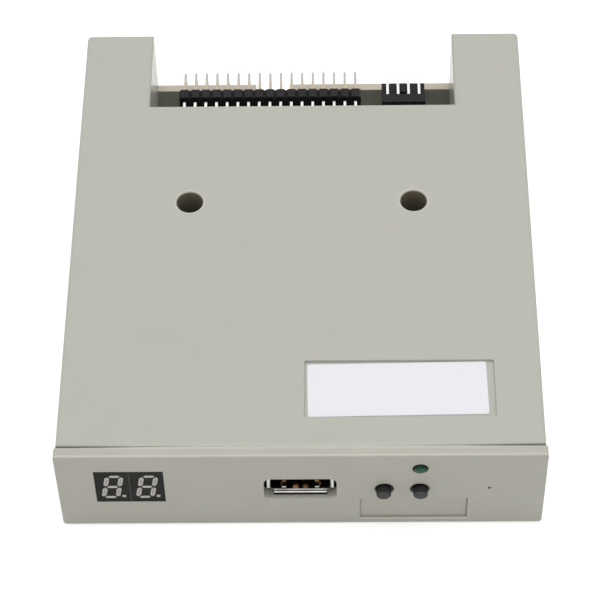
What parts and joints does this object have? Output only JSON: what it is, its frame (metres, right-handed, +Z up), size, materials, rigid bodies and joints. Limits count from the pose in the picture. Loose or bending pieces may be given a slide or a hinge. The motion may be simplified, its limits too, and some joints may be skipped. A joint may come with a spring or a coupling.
{
  "type": "floppy drive emulator",
  "caption": "Grey 3.5 inch drive housing with a digit display, memory stick socket, push buttons and a pin connector bay cut into its rear.",
  "frame": {"origin": "middle of the underside of the whole part's box, standing on its tray", "axes": "+X to the right seen from the front, +Y towards the rear, +Z up"},
  "size_m": [0.1024, 0.1218, 0.0254],
  "materials": {
    "housing_plastic": "moulded ABS, fine matt grain",
    "bezel_plastic": "moulded ABS, fine matt grain",
    "label_paper": "plain white paper label",
    "steel": "bright stamped or turned steel",
    "tinned": "tin-plated wire",
    "gilt": "gold-flashed spring strip",
    "black_plastic": "black moulded plastic",
    "board": "green solder mask over glass fibre",
    "resin": "pale cast resin",
    "lens": "dark green cast resin",
    "can": "drawn metal can"
  },
  "bodies": {
    "housing": {"top_cover": "housing_plastic", "base_tray": "housing_plastic", "front_bezel": "bezel_plastic", "cover_label": "label_paper", "case_screw_left": "steel", "case_screw_right": "steel", "main_board": "board", "ribbon_header": "black_plastic", "power_header": "black_plastic", "power_pin_1": "tinned", "power_pin_2": "tinned", "power_pin_3": "tinned", "power_pin_4": "tinned", "usb_shell": "steel", "usb_tongue": "black_plastic", "usb_contact_1": "gilt", "usb_contact_2": "gilt", "usb_contact_3": "gilt", "usb_contact_4": "gilt", "digit_housing_left": "black_plastic", "digit_housing_right": "black_plastic", "digit_resin_left": "resin", "digit_resin_right": "resin", "display_board": "board", "display_link": "black_plastic", "display_driver": "black_plastic", "led_lens": "lens", "led_lead_left": "tinned", "led_lead_right": "tinned", "switch_body_left": "black_plastic", "switch_body_right": "black_plastic", "switch_frame_left": "steel", "switch_frame_right": "steel", "processor": "black_plastic", "crystal": "can", "regulator": "black_plastic", "capacitor_1": "can", "capacitor_2": "can", "logic_chip_1": "black_plastic", "logic_chip_2": "black_plastic", "select_header": "black_plastic", "jumper_cap": "black_plastic", "service_header": "black_plastic"},
    "button_left": {"button_left": "black_plastic"},
    "button_right": {"button_right": "black_plastic"}
  },
  "joints": [
    {"name": "button_left_press", "type": "slide", "parent": "housing", "child": "button_left", "axis": [0, 1, 0], "range_m": [0, 0.0003], "stiffness_N_per_m": 2500, "springref_m": -0.0003},
    {"name": "button_right_press", "type": "slide", "parent": "housing", "child": "button_right", "axis": [0, 1, 0], "range_m": [0, 0.0003], "stiffness_N_per_m": 2500, "springref_m": -0.0003}
  ]
}
